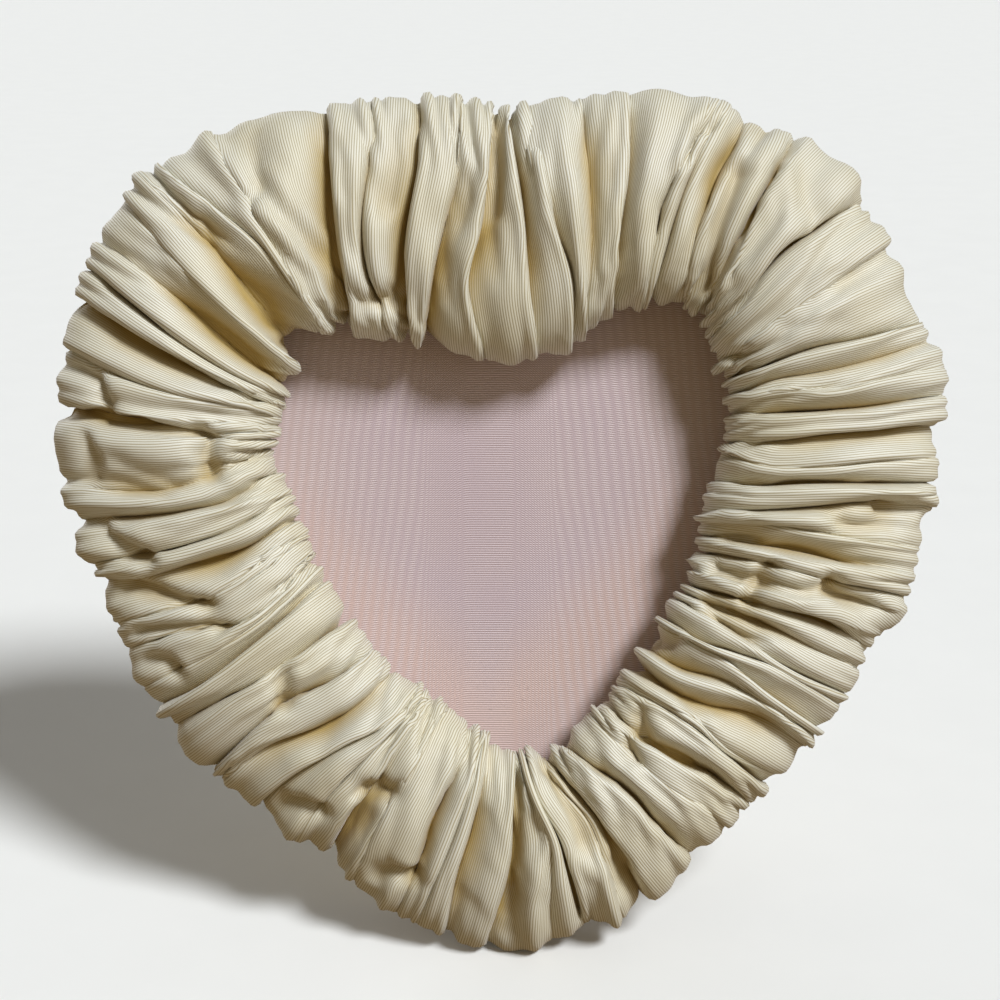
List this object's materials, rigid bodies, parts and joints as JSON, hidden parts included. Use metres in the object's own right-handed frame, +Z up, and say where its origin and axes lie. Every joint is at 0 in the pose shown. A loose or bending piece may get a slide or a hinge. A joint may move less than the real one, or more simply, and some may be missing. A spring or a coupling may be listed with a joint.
{
  "type": "heart shaped photo frame",
  "caption": "Heart shaped photo frame with a padded, gathered fabric band round a heart window, a flat fabric panel behind it and a folding easel leg.",
  "frame": {"origin": "on the table, in the middle of the whole footprint from the front of the band to the heel of the leg", "axes": "+X to the right across the frame as seen from the front, +Y to the rear where the leg stands, +Z up; the frame's face looks along -Y and leans back 15 degrees"},
  "size_m": [0.2042, 0.0938, 0.187],
  "materials": {
    "sleeve_faille": "gathered ribbed faille with a watered sheen",
    "wadding": "soft fibre filling",
    "chipboard": "plain chipboard",
    "thread": "cotton thread",
    "panel_moire": "pink watered faille, stretched flat",
    "back_cloth": "plain cream cloth, stretched flat",
    "hinge_steel": "nickel-plated sheet",
    "rivet_brass": "domed brass",
    "stay_satin": "cream satin ribbon"
  },
  "bodies": {
    "frame": {"ruched_sleeve": "sleeve_faille", "wadding_ring": "wadding", "front_board": "chipboard", "gather_thread_inner": "thread", "gather_thread_outer": "thread", "pocket_spacer": "chipboard", "panel_board": "chipboard", "panel_cover": "panel_moire", "back_board": "chipboard", "back_cover": "back_cloth", "hinge_back_leaf": "hinge_steel", "hinge_pin": "hinge_steel", "hinge_back_rivets": "rivet_brass", "stay_back_rivet": "rivet_brass", "stay_ribbon": "stay_satin"},
    "leg": {"leg_board": "chipboard", "leg_cover": "back_cloth", "hinge_leg_leaf": "hinge_steel", "hinge_leg_rivets": "rivet_brass", "stay_leg_rivet": "rivet_brass"}
  },
  "joints": [
    {"name": "leg_fold", "type": "hinge", "parent": "frame", "child": "leg", "pos_m": [-0.00012, 0.00808, 0.11008], "axis": [-1, 0, 0], "range_deg": [0, 32], "deforming": ["stay_ribbon"]}
  ]
}
